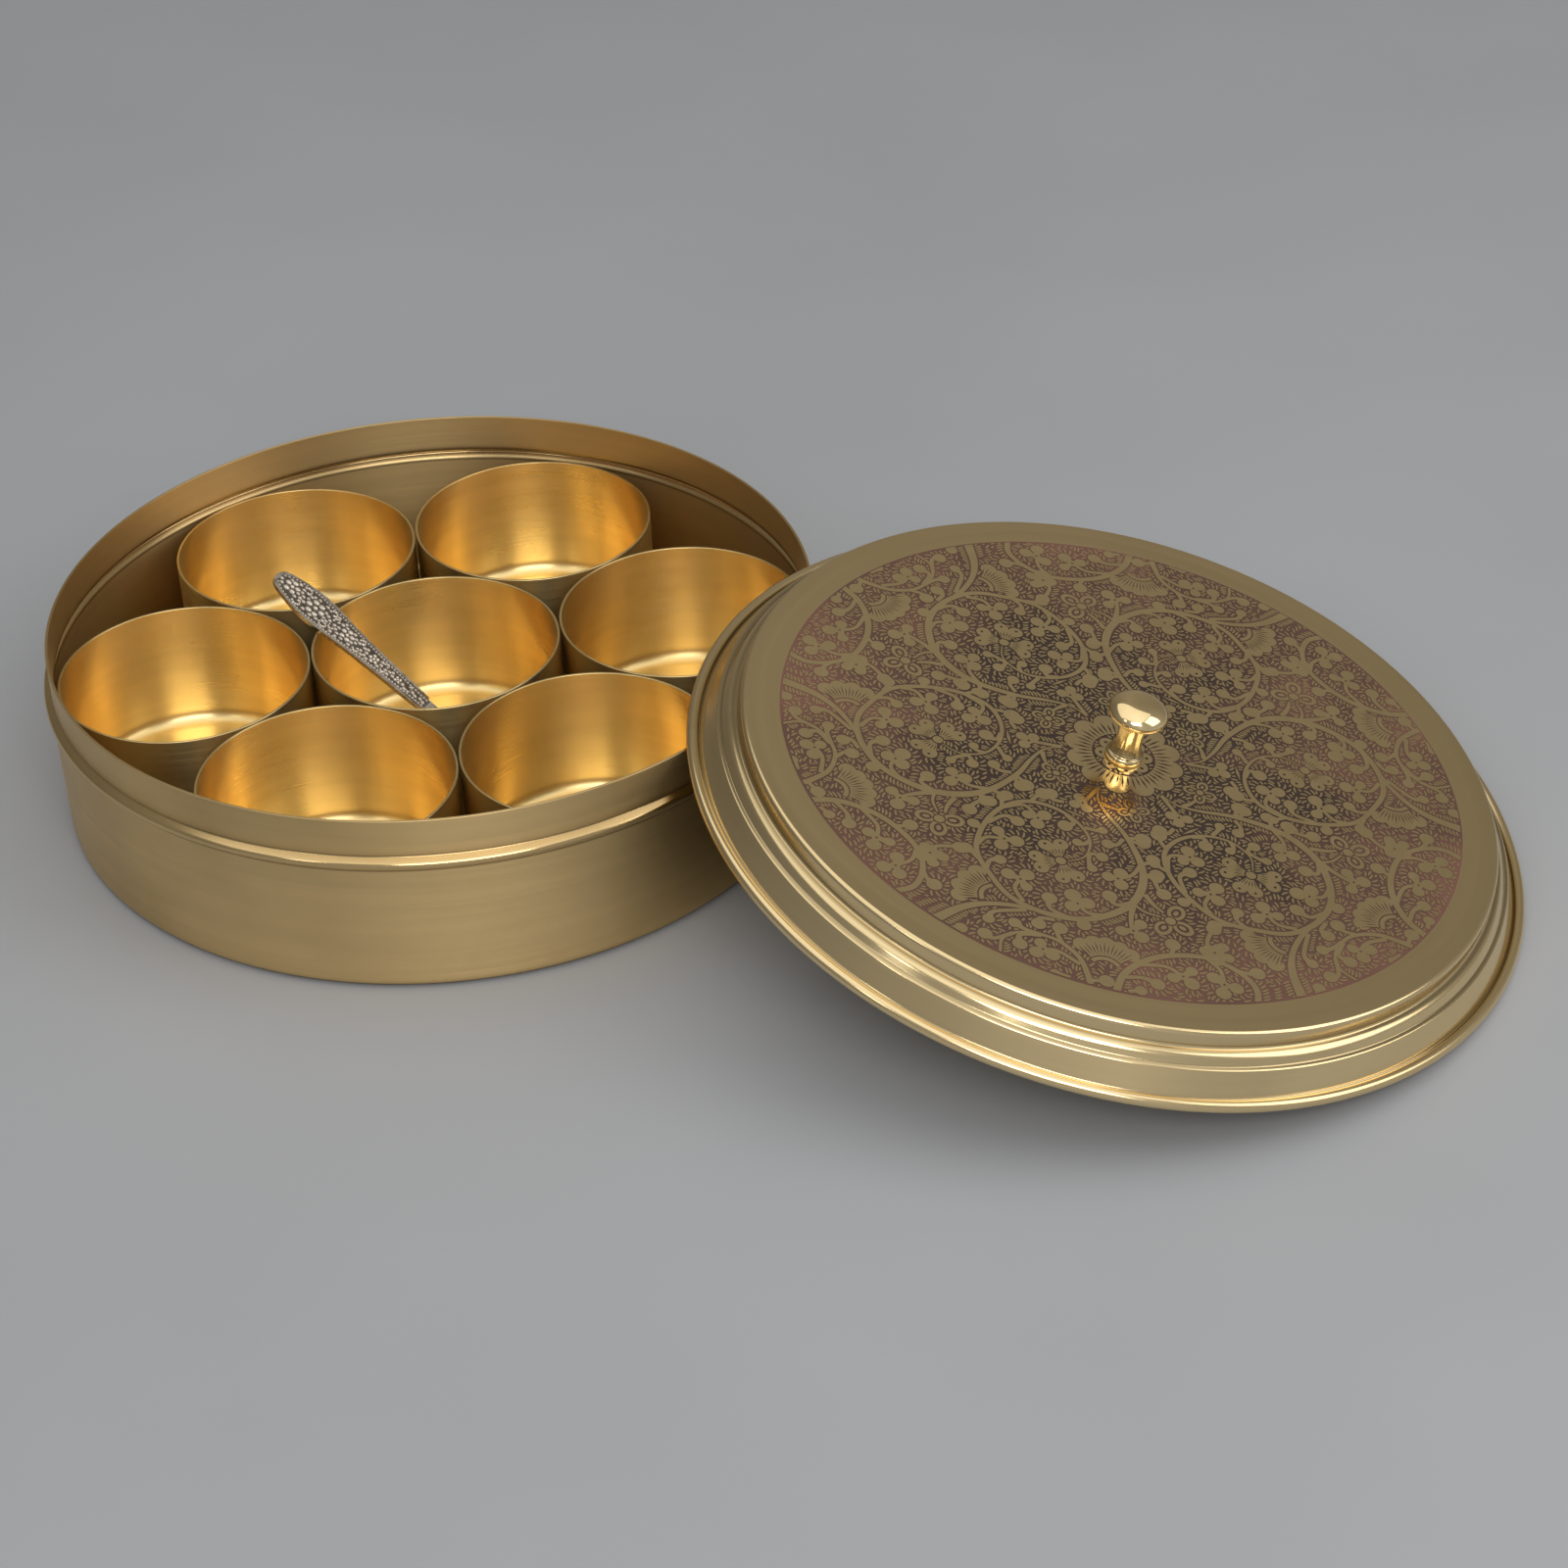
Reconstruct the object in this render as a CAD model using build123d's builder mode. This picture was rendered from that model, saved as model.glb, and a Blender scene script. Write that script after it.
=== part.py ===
from build123d import *
from math import asin, cos, radians, sin, sqrt
import os

# A brass spice box in the state of the photograph: the open box on the table, seven loose
# cups in it, a small spoon in the middle cup, and the lid leaning on the box's rim.
# Origin: middle of the box's base, on the table. +Z up, +Y away from the viewer.

# Box, spun from one sheet
collar_radius = 105.7
collar_step = 0.8
box_height = 52.6
box_wall = 0.8
box_corner = 3.0
bead_bottom = 38.1
bead_height = 3.7
bead_out = 1.4
bead_land = 1.4
bead_slope = 1.2
bead_bend = 1.25
bead_root = 0.5

# Cups, seven alike, that just fill the box
cup_height = 38.4
cup_wall = 0.7
cup_corner = 4.0
cup_gap = 0.4
cup_side_gap = 0.55
ring_turn = 9.4

# Lid, one sheet: flat top, step, shoulder, small lip, flaring skirt and rolled rim
lid_wall = 0.6
lid_bearing = -22.1
lid_perch_share = 0.92
top_inset = 0.2
top_bend = 1.3
step_depth = 4.6
shoulder_width = 2.0
shoulder_depth = 5.0
shoulder_bend = 1.5
lip_over_collar = 0.4
lip_reach = 2.7
lip_depth = 7.5
lip_width = 1.1
lip_drop = 0.2
lip_bend = 0.8
inner_bend = 0.7
skirt_flare = 3.5
skirt_depth = 13.3
rim_flare = 1.7
rim_depth = 14.2
rim_thickness = 3.1
wire_thickness = 1.8
wire_gap = 0.05

# Knob and its fixing
knob_height = 18.3
knob_head_radius = 7.85
knob_head_half = 3.3
knob_crown_radius = 5.55
knob_crown_drop = 0.97
knob_neck_radius = 3.9
knob_neck_drop = 0.5
knob_waist_radius = 3.4
knob_foot_radius = 4.7
knob_foot_bulge = 0.35
knob_foot_height = 2.0
knob_shank_radius = 4.2
washer_radius = 5.0
washer_thickness = 0.8
screw_radius = 1.95
screw_gap = 0.1
screw_reach = 7.5
screw_end_gap = 0.5
screw_head_radius = 3.7
screw_head_height = 2.2
screw_head_bend = 0.9
slot_width = 1.0
slot_depth = 1.0
hole_gap = 0.25

# Spoon, with a flat handle and a shallow oval bowl
spoon_way = -31.0
spoon_side = 6.5
spoon_slope = 32.0
handle_width = 11.5
handle_thickness = 1.2
handle_tip = 20.0
handle_widest = 7.2
shoulder_along = 15.9
shoulder_half = 4.1
waist_along = 9.6
waist_half = 4.25
neck_along = 33.5
neck_half = 2.4
neck_width = 4.0
bowl_length = 25.0
bowl_width = 18.0
bowl_depth = 4.5
bowl_wall = 0.9

# Air between pieces that only rest on each other
rest_gap = 0.3
edge_round = 0.15

# Sizes that follow from those above
box_bore = collar_radius - box_wall
body_radius = collar_radius + collar_step
lip_radius = collar_radius + lip_over_collar
shoulder_radius = lip_radius - lip_reach
step_radius = shoulder_radius - shoulder_width
top_radius = step_radius - top_inset
skirt_radius = lip_radius + skirt_flare
rim_radius = skirt_radius + rim_flare
cup_radius = (box_bore - cup_side_gap - cup_gap) / 3
cup_bore = cup_radius - cup_wall
cup_pitch = 2 * cup_radius + cup_gap
cup_floor = box_wall
cup_rim = cup_floor + cup_height
up = Vector(0, 0, 1)


def section(origin, outward, upward):
    """Plane of a turned piece's profile: local x is the radius, local y the height."""
    return Plane(origin=origin, x_dir=outward, z_dir=outward.cross(upward))


# box_body: flat floor, straight wall, a bead pressed outwards all round, narrower collar
bead_top = bead_bottom + bead_height
with BuildPart() as box_body:
    with BuildSketch(Plane.XZ):
        with BuildLine():
            wall_line = FilletPolyline(
                (0, 0),
                (body_radius, 0),
                (body_radius, bead_bottom),
                (body_radius + bead_out, bead_bottom + bead_slope),
                (body_radius + bead_out, bead_bottom + bead_slope + bead_land),
                (collar_radius, bead_top),
                (collar_radius, box_height),
                radius=[box_corner, bead_root, bead_bend, bead_bend, bead_root],
            )
            offset(wall_line, amount=box_wall, side=Side.LEFT)
        make_face()
    revolve(axis=Axis.Z)
    fillet(box_body.edges().group_by(Axis.Z)[-1], edge_round)
box_body.part.label = "box_body"


def spice_cup(centre):
    """Spun cup with a flat floor and a straight wall, open at the top."""
    foot = centre + up * cup_floor
    with BuildPart() as cup:
        with BuildSketch(section(foot, Vector(1, 0, 0), up)):
            with BuildLine():
                outline = FilletPolyline(
                    (0, 0), (cup_radius, 0), (cup_radius, cup_height), radius=cup_corner
                )
                offset(outline, amount=cup_wall, side=Side.LEFT)
            make_face()
        revolve(axis=Axis(foot, up))
        fillet(cup.edges().group_by(Axis.Z)[-1], edge_round)
    return cup.part


# The seven cups: one in the middle and six round it
ring_names = ["right", "back_right", "back_left", "left", "front_left", "front_right"]
cups = {"cup_centre": spice_cup(Vector(0, 0, 0))}
for place, ring_name in enumerate(ring_names):
    turn = radians(ring_turn + place * 360 / len(ring_names))
    cups["cup_" + ring_name] = spice_cup(Vector(cos(turn), sin(turn), 0) * cup_pitch)
for cup_name, cup_part in cups.items():
    cup_part.label = cup_name

# The lid leans straight away from the box: its rolled rim touches the table at its lowest
# point and lies on the box's rim at two points, which settles its tilt and how far out it
# stands. The two points are a share of the rim's radius up from the lid's middle.
tilt = asin((box_height + rest_gap) / (rim_radius * (1 + lid_perch_share)))
bearing = radians(lid_bearing)
lean_way = Vector(cos(bearing), sin(bearing), 0)
rim_half = rim_thickness / 2
ring_rise = rim_radius * sin(tilt)
perch_along = rim_radius * lid_perch_share
perch_across = sqrt(rim_radius**2 - perch_along**2)
perch_radius = collar_radius - box_wall / 2
ring_out = sqrt(perch_radius**2 - perch_across**2) + perch_along * cos(tilt)
lid_up = lean_way * sin(tilt) + up * cos(tilt)
lid_out = lean_way * cos(tilt) - up * sin(tilt)
lid_top = lean_way * ring_out + up * (ring_rise + rim_half) + lid_up * rim_depth
lid_section = section(lid_top, lid_out, lid_up)
lid_axis = Axis(lid_top, lid_up)
lid_seat = Plane(origin=lid_top, x_dir=lid_out, z_dir=lid_up)

# lid_shell: the sheet ends in a roll, closed round the wire
with BuildPart() as lid_shell:
    with BuildSketch(lid_section):
        with BuildLine():
            skin_line = FilletPolyline(
                (0, 0),
                (top_radius, 0),
                (step_radius, -step_depth),
                (shoulder_radius, -shoulder_depth),
                (lip_radius - lip_width, lip_drop - lip_depth),
                (lip_radius, -lip_depth),
                (skirt_radius, -skirt_depth),
                (rim_radius, -rim_depth),
                radius=[top_bend, inner_bend, shoulder_bend, inner_bend, lip_bend, inner_bend],
            )
            offset(skin_line, amount=lid_wall, side=Side.RIGHT)
        make_face()
        with Locations((rim_radius, -rim_depth)):
            Circle(rim_half)
            Circle(wire_thickness / 2 + wire_gap, mode=Mode.SUBTRACT)
        Rectangle(screw_radius + hole_gap, lid_wall, align=(Align.MIN, Align.MAX), mode=Mode.SUBTRACT)
    revolve(axis=lid_axis)
lid_shell.part.label = "lid_shell"

# rim_wire: the ring inside the roll
with BuildPart() as rim_wire:
    with BuildSketch(lid_section):
        with Locations((rim_radius, -rim_depth)):
            Circle(wire_thickness / 2)
    revolve(axis=lid_axis)
rim_wire.part.label = "rim_wire"

# knob: turned from bar, with a flattened head, a waist, a small foot and a hole for the screw.
# It is turned upright and then set on the lid.
head_middle = knob_height - knob_head_half
crown_edge = (knob_crown_radius, knob_height - knob_crown_drop)
under_edge = (knob_crown_radius, 2 * head_middle - crown_edge[1])
crown_bend = (knob_crown_radius**2 + knob_crown_drop**2) / (2 * knob_crown_drop)
neck_top = (knob_neck_radius, under_edge[1] - knob_neck_drop)
with BuildPart() as knob:
    with BuildSketch(Plane.XZ):
        with BuildLine():
            RadiusArc((0, knob_height), crown_edge, crown_bend)
            ThreePointArc(crown_edge, (knob_head_radius, head_middle), under_edge)
            Line(under_edge, neck_top)
            ThreePointArc(
                neck_top,
                (knob_waist_radius, (neck_top[1] + knob_foot_height) / 2),
                (knob_shank_radius, knob_foot_height),
            )
            ThreePointArc(
                (knob_shank_radius, knob_foot_height),
                (knob_foot_radius + knob_foot_bulge, knob_foot_height / 2),
                (knob_foot_radius, 0),
            )
            Polyline((knob_foot_radius, 0), (0, 0), (0, knob_height))
        make_face()
        Rectangle(
            screw_radius + screw_gap,
            screw_reach + screw_end_gap,
            align=(Align.MIN, Align.MIN),
            mode=Mode.SUBTRACT,
        )
    revolve(axis=Axis.Z)
set_knob = lid_seat * knob.part
set_knob.label = "knob"

# knob_washer: flat ring under the lid's top
with BuildPart() as knob_washer:
    with BuildSketch(lid_section):
        with Locations((0, -lid_wall)):
            Rectangle(washer_radius, washer_thickness, align=(Align.MIN, Align.MAX))
            Rectangle(
                screw_radius + hole_gap,
                washer_thickness,
                align=(Align.MIN, Align.MAX),
                mode=Mode.SUBTRACT,
            )
    revolve(axis=lid_axis)
knob_washer.part.label = "knob_washer"

# knob_screw: slotted screw from below, through washer and lid, into the knob
head_top = -lid_wall - washer_thickness
head_under = head_top - screw_head_height
with BuildPart() as knob_screw:
    with BuildSketch(lid_section):
        with Locations((0, head_top)):
            head_face = Rectangle(screw_head_radius, screw_head_height, align=(Align.MIN, Align.MAX))
        fillet(head_face.vertices().group_by(Axis.X)[-1].sort_by(Axis.Z)[0], screw_head_bend)
        with Locations((0, head_top)):
            Rectangle(screw_radius, screw_reach - head_top, align=(Align.MIN, Align.MIN))
    revolve(axis=lid_axis)
    with BuildSketch(Plane(origin=lid_top + lid_up * head_under, x_dir=lid_out, z_dir=lid_up)):
        Rectangle(3 * screw_head_radius, slot_width)
    extrude(amount=slot_depth, mode=Mode.SUBTRACT)
knob_screw.part.label = "knob_screw"

# spoon: its handle lies on the middle cup's rim and its bowl on that cup's floor
slope = radians(spoon_slope)
way = radians(spoon_way)
spoon_forward = Vector(cos(way), sin(way), 0)
spoon_across = Vector(-sin(way), cos(way), 0)
perch = sqrt(cup_bore**2 - (spoon_side + handle_width / 2) ** 2)
perch_rise = cup_rim + rest_gap + handle_thickness / 2 / cos(slope)
spoon_origin = spoon_forward * -perch + spoon_across * -spoon_side + up * perch_rise
spoon_along = spoon_forward * cos(slope) - up * sin(slope)
spoon_up = spoon_forward * sin(slope) + up * cos(slope)
spoon_plane = Plane(origin=spoon_origin, x_dir=spoon_along, z_dir=spoon_up)

# The bowl is a cap cut from an egg shape that is round about the spoon's length
egg_radius = (bowl_width**2 / 4 + bowl_depth**2) / (2 * bowl_depth)
egg_half = egg_radius * bowl_length / bowl_width
egg_rise = egg_radius - bowl_depth
egg_reach = sqrt((egg_half * sin(slope)) ** 2 + (egg_radius * cos(slope)) ** 2)
bowl_drop = egg_reach - egg_rise * cos(slope)
bowl_middle = (perch_rise - bowl_drop - cup_floor - cup_wall - rest_gap) / sin(slope)
neck_end = bowl_middle - bowl_length / 2 + bowl_wall
egg_axis = Axis(spoon_plane.from_local_coords((0, 0, egg_rise)), spoon_along)
egg_plane = Plane(
    origin=spoon_plane.from_local_coords((bowl_middle, 0, egg_rise)),
    x_dir=spoon_along,
    z_dir=spoon_plane.y_dir,
)
with BuildPart() as spoon:
    with BuildSketch(egg_plane):
        Ellipse(egg_half, egg_radius)
        Ellipse(egg_half - bowl_wall, egg_radius - bowl_wall, mode=Mode.SUBTRACT)
        Rectangle(3 * egg_half, 2 * egg_radius, align=(Align.CENTER, Align.MIN), mode=Mode.SUBTRACT)
    revolve(axis=egg_axis)
    split(bisect_by=spoon_plane, keep=Keep.BOTTOM)
    with BuildSketch(spoon_plane.offset(-handle_thickness / 2)):
        with BuildLine():
            side_line = Spline(
                (-handle_tip, 0),
                (-shoulder_along, shoulder_half),
                (-handle_widest, handle_width / 2),
                (waist_along, waist_half),
                (neck_along, neck_half),
                (neck_end, neck_width / 2),
                tangents=((0, 1), (1, 0)),
            )
            mirror(side_line, about=Plane.XZ)
            Line((neck_end, neck_width / 2), (neck_end, -neck_width / 2))
        make_face()
    extrude(amount=handle_thickness)
spoon.part.label = "spoon"

os.makedirs("parts", exist_ok=True)
lid_pieces = [lid_shell.part, rim_wire.part, set_knob, knob_washer.part, knob_screw.part]
for piece in [box_body.part, *cups.values(), spoon.part, *lid_pieces]:
    export_step(piece, "parts/" + piece.label + ".step")
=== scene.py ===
from math import atan2, ceil, cos, degrees, pi, radians, sin, tan, tau

import bmesh
import bpy
from mathutils import Matrix, Vector
from mathutils.bvhtree import BVHTree
from mathutils.geometry import delaunay_2d_cdt
from mathutils.kdtree import KDTree


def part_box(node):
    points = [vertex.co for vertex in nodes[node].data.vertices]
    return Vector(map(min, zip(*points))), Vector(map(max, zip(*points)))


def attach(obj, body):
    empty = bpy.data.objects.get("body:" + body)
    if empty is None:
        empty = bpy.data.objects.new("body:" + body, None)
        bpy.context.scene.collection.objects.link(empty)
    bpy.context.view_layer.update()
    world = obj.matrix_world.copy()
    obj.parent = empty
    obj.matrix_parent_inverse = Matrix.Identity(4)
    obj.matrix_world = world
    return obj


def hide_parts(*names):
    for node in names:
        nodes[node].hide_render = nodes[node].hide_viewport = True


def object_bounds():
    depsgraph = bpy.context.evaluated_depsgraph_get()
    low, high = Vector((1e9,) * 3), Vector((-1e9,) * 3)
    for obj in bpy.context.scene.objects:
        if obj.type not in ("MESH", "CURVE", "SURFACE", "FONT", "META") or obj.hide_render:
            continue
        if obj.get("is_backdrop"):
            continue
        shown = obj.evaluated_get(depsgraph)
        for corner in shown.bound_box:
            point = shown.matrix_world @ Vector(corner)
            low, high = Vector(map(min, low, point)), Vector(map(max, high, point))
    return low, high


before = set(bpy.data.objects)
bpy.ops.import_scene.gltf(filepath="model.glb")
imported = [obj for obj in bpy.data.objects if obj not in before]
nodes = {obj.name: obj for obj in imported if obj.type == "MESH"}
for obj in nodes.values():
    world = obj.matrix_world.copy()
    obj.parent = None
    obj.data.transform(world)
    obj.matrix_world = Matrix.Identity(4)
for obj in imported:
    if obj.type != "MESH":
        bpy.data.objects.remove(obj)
solid_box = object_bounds()
MM = 0.001


# Box: one sheet of brass spun on a lathe, with a flat floor, a straight wall, a bead pressed
# out all round for the lid to stop on, and a narrower collar above it. The brass is left
# satin, with fine turning lines round it, and shade is painted as dark bands into the angles
# of the bead and round the floor's edge.
BOX_BRASS = (0.80, 0.58, 0.28)
BOX_TARNISH = (0.56, 0.40, 0.18)
BOX_GLOSS = 0.38
BOX_LINE_DEPTH = 0.15
BOX_BRUSHED = 0.8
BOX_WALL = 0.8
BOX_LINE = [(0, 0), (106.5, 0), (106.5, 38.1), (107.9, 39.3), (107.9, 40.7), (105.7, 41.8), (105.7, 52.6)]
BOX_BENDS = [3.0, 0.5, 1.25, 1.25, 0.5]
BOX_STEPS = 400
EDGE_ROUND = 0.15
BEAD_FOOT = 38.0
BEAD_MIDDLE = 40.3
BEAD_TOP = 42.0
BOX_FLOOR_EDGE = 0.8
INSIDE_WALL = 106.1
INSIDE_COLLAR = 105.3
INSIDE_BLEND = 0.1
INSIDE_SOFTNESS = 0.08
INSIDE_DARKENING = 0.55
TURNING_LINES = (0.5, 1900, 1900)
POLISH_BANDS = (0.7, 240, 240)
TARNISH_PATCHES = (1.6, 22, 22)
NOISE_MIDDLE = (0.3, 0.7)
LINE_HEIGHT = 0.01
QUARTER_TURN = 0.25
BEND_STEP = 8
ON_AXIS = 1e-6


def add_node(material, kind, **settings):
    """A new node in a material or the sky, with its plain settings."""
    node = material.node_tree.nodes.new(kind)
    for name, value in settings.items():
        setattr(node, name, value)
    return node


def wire(material, source, target):
    """Joins one socket of a material's nodes to another."""
    material.node_tree.links.new(source, target)


def reckon(material, operation, first, second=None, clamp=False):
    """One sum on a value, with another value or a plain number as its second part."""
    node = add_node(material, "ShaderNodeMath", operation=operation, use_clamp=clamp)
    wire(material, first, node.inputs[0])
    if isinstance(second, bpy.types.NodeSocket):
        wire(material, second, node.inputs[1])
    elif second is not None:
        node.inputs[1].default_value = second
    return node.outputs[0]


def spread(material, value, low, high, to_low, to_high):
    """Turns a value that runs from low to high into one that runs from to_low to to_high."""
    span = add_node(material, "ShaderNodeMapRange")
    wire(material, value, span.inputs["Value"])
    limits = {"From Min": low, "From Max": high, "To Min": to_low, "To Max": to_high}
    for name, limit in limits.items():
        span.inputs[name].default_value = limit
    return span.outputs["Result"]


def blended(material, share, first, second):
    """A colour between two others, by a share from nought to one."""
    blend = add_node(material, "ShaderNodeMix", data_type="RGBA")
    wire(material, share, blend.inputs[0])
    blend.inputs[6].default_value = (*first, 1)
    blend.inputs[7].default_value = (*second, 1)
    return blend.outputs[2]


def times(material, colour, value):
    """A colour made darker or lighter by a value."""
    shade = add_node(material, "ShaderNodeMix", data_type="RGBA", blend_type="MULTIPLY")
    shade.inputs[0].default_value = 1.0
    wire(material, colour, shade.inputs[6])
    wire(material, value, shade.inputs[7])
    return shade.outputs[2]


def parts_of(material, vector):
    """The three numbers of a vector, as sockets."""
    split = add_node(material, "ShaderNodeSeparateXYZ")
    wire(material, vector, split.inputs[0])
    return split.outputs


def turned_place(material, middle, upward):
    """Each point's turn (X), radius (Y) and height (Z) about a turned piece's own axis."""
    place = add_node(material, "ShaderNodeTexCoord")
    move = add_node(material, "ShaderNodeVectorMath", operation="SUBTRACT")
    wire(material, place.outputs["Object"], move.inputs[0])
    move.inputs[1].default_value = middle
    level = add_node(material, "ShaderNodeVectorRotate", rotation_type="EULER_XYZ")
    lean = upward.rotation_difference(Vector((0, 0, 1)))
    level.inputs["Rotation"].default_value = lean.to_euler()
    wire(material, move.outputs[0], level.inputs["Vector"])
    x, y, height = parts_of(material, level.outputs["Vector"])
    flat = add_node(material, "ShaderNodeCombineXYZ")
    wire(material, x, flat.inputs["X"])
    wire(material, y, flat.inputs["Y"])
    radius = add_node(material, "ShaderNodeVectorMath", operation="LENGTH")
    wire(material, flat.outputs[0], radius.inputs[0])
    joined = add_node(material, "ShaderNodeCombineXYZ")
    wire(material, reckon(material, "ARCTAN2", y, x), joined.inputs["X"])
    wire(material, radius.outputs["Value"], joined.inputs["Y"])
    wire(material, height, joined.inputs["Z"])
    return joined.outputs[0]


def streaks(material, place, scale, detail, shift):
    """Noise stretched by a different amount along each part of a place."""
    stretch = add_node(material, "ShaderNodeMapping")
    stretch.inputs["Scale"].default_value = scale
    stretch.inputs["Location"].default_value = (shift, 2.3 * shift, 0.7 * shift)
    wire(material, place, stretch.inputs["Vector"])
    noise = add_node(material, "ShaderNodeTexNoise")
    noise.inputs["Scale"].default_value = 1.0
    noise.inputs["Detail"].default_value = detail
    wire(material, stretch.outputs[0], noise.inputs["Vector"])
    return noise.outputs["Fac"]


def lower_ring(material, place, part, at_mm, half_mm, depth):
    """A value of one that falls at one radius or height, for painted shade in an angle or for a rubbed
    edge.
    """
    offset = reckon(material, "SUBTRACT", parts_of(material, place)[part], at_mm * MM)
    gap = reckon(material, "ABSOLUTE", offset)
    return spread(material, gap, 0, half_mm * MM, 1 - depth, 1)


def inner_side(material, place, amount):
    """An amount on the inside of the box only, where the brass is made darker and rougher.

    A place is inside where its radius is less than one that lies within the sheet itself.
    """
    _, radius, height = parts_of(material, place)
    foot, top = (BEAD_TOP - 1) * MM, (BEAD_TOP + 1) * MM
    limit = spread(material, height, foot, top, INSIDE_WALL * MM, INSIDE_COLLAR * MM)
    depth = reckon(material, "SUBTRACT", limit, radius)
    return spread(material, depth, 0, INSIDE_BLEND * MM, 0, amount)


def new_finish(name, metallic=1.0):
    """A new material, and the shader that gives it its finish."""
    material = bpy.data.materials.new(name)
    material.use_nodes = True
    shader = material.node_tree.nodes["Principled BSDF"]
    shader.inputs["Metallic"].default_value = metallic
    return material, shader


def turned_brass(
    name, bright, dull, middle, upward, gloss, line_depth,
    brushed=0.0, shift=0.0, shade_rings=(), tarnished=0.9, dull_inside=False, rubbed=None,
):
    """Brass with turning lines round its axis, a little tarnish, uneven polish, and bands of painted shade
    in its angles.
    """
    material, shader = new_finish(name)
    place = turned_place(material, middle, upward)
    lines = streaks(material, place, TURNING_LINES, 3, shift)
    bands = streaks(material, place, POLISH_BANDS, 3, shift + 5)
    patches = streaks(material, place, TARNISH_PATCHES, 4, shift + 9)

    dulled = spread(material, patches, 0.38, 0.78, 0.0, tarnished)
    worn = spread(material, lines, *NOISE_MIDDLE, gloss - 0.03, gloss + 0.03)
    worn = reckon(material, "ADD", worn, spread(material, patches, 0.4, 0.75, -0.01, 0.06))
    if dull_inside:
        dulled = reckon(material, "ADD", dulled, inner_side(material, place, INSIDE_DARKENING), clamp=True)
        worn = reckon(material, "ADD", worn, inner_side(material, place, INSIDE_SOFTNESS))
    if rubbed:
        worn = reckon(material, "MULTIPLY", worn, lower_ring(material, place, *rubbed))
    wire(material, worn, shader.inputs["Roughness"])

    colour = blended(material, dulled, bright, dull)
    colour = times(material, colour, spread(material, bands, *NOISE_MIDDLE, 0.94, 1.03))
    # Each shade ring darkens the colour where it lies: painted shade in an angle of the piece.
    for ring in shade_rings:
        colour = times(material, colour, lower_ring(material, place, *ring))
    wire(material, colour, shader.inputs["Base Color"])

    bump = add_node(material, "ShaderNodeBump")
    bump.inputs["Strength"].default_value = line_depth
    bump.inputs["Distance"].default_value = LINE_HEIGHT * MM
    wire(material, lines, bump.inputs["Height"])
    wire(material, bump.outputs["Normal"], shader.inputs["Normal"])
    if brushed:
        tangent = add_node(material, "ShaderNodeTangent", direction_type="RADIAL", axis="Z")
        wire(material, tangent.outputs["Tangent"], shader.inputs["Tangent"])
        shader.inputs["Anisotropic"].default_value = brushed
        shader.inputs["Anisotropic Rotation"].default_value = QUARTER_TURN
    return material


def bent_line(corners, bends, outside):
    """Places along straight runs joined by round bends, each with its way out of the metal."""
    spots = [Vector(corner) for corner in corners]
    ways = [(b - a).normalized() for a, b in zip(spots, spots[1:])]
    line = [(spots[0], outside * Vector((ways[0].y, -ways[0].x)))]
    for corner, bend, before, after in zip(spots[1:], bends, ways, ways[1:]):
        turn = atan2(before.cross(after), before.dot(after))
        hand = 1 if turn > 0 else -1
        start = corner - before * (bend * tan(abs(turn) / 2))
        middle = start + hand * bend * Vector((-before.y, before.x))
        parts = max(3, ceil(abs(degrees(turn)) / BEND_STEP))
        for k in range(parts + 1):
            way = Matrix.Rotation(turn * k / parts, 2) @ before
            out = Vector((way.y, -way.x))
            line.append((middle + hand * bend * out, outside * out))
    return line + [(spots[-1], outside * Vector((ways[-1].y, -ways[-1].x)))]


def sheet_section(line, wall, edge):
    """The section of a sheet with one face along the line and a softened edge at its end."""
    end, out = line[-1]
    on = (end - line[-2][0]).normalized()
    section = line[:-1]
    outer, inner = end - (on + out) * edge, end - on * edge - out * (wall - edge)
    for base, first, second in ((outer, out, on), (inner, on, -out)):
        for k in range(4):
            way = first * cos(pi / 6 * k) + second * sin(pi / 6 * k)
            section.append((base + way * edge, way))
    return section + [(spot - way * wall, -way) for spot, way in reversed(line[:-1])]


def in_scene(name, data):
    """A new object in the scene, made of a mesh or of a lamp's or camera's data."""
    thing = bpy.data.objects.new(name, data)
    bpy.context.scene.collection.objects.link(thing)
    return thing


def spun(name, sections, middle, upward, steps, body, node, material):
    """Turns closed sections round an axis, and lets the piece stand for the CAD node."""
    side = (Vector((1, 0, 0)) - upward * upward.x).normalized()
    ways = [side * cos(tau * k / steps) + upward.cross(side) * sin(tau * k / steps) for k in range(steps)]
    points, normals, faces = [], [], []
    for section in sections:
        along = section[1][0] - section[0][0]
        if section[0][1].dot(Vector((along.y, -along.x))) < 0:
            section = section[::-1]
        rows = []
        for spot, out in section:
            turns = ways if spot.x > ON_AXIS else ways[:1]
            rows.append([len(points) + k % len(turns) for k in range(steps + 1)])
            points += [middle + (way * spot.x + upward * spot.y) * MM for way in turns]
            normals += [way * out.x * (spot.x > ON_AXIS) + upward * out.y for way in turns]
        for row, after in zip(rows, rows[1:] + rows[:1]):
            for k in range(steps):
                corners = list(dict.fromkeys((row[k], row[k + 1], after[k + 1], after[k])))
                if len(corners) > 2:
                    faces.append(corners)
    mesh = bpy.data.meshes.new(name)
    mesh.from_pydata(points, [], faces)
    mesh.polygons.foreach_set("use_smooth", [True] * len(mesh.polygons))
    mesh.normals_split_custom_set_from_vertices([normal.normalized() for normal in normals])
    mesh.materials.append(material)
    piece = in_scene(name, mesh)
    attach(piece, body)
    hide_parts(node)


def dress(node, material):
    """Gives a CAD node its one finished material."""
    slots = nodes[node].data.materials
    slots.clear()
    slots.append(material)


upright = Vector((0, 0, 1))
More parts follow.
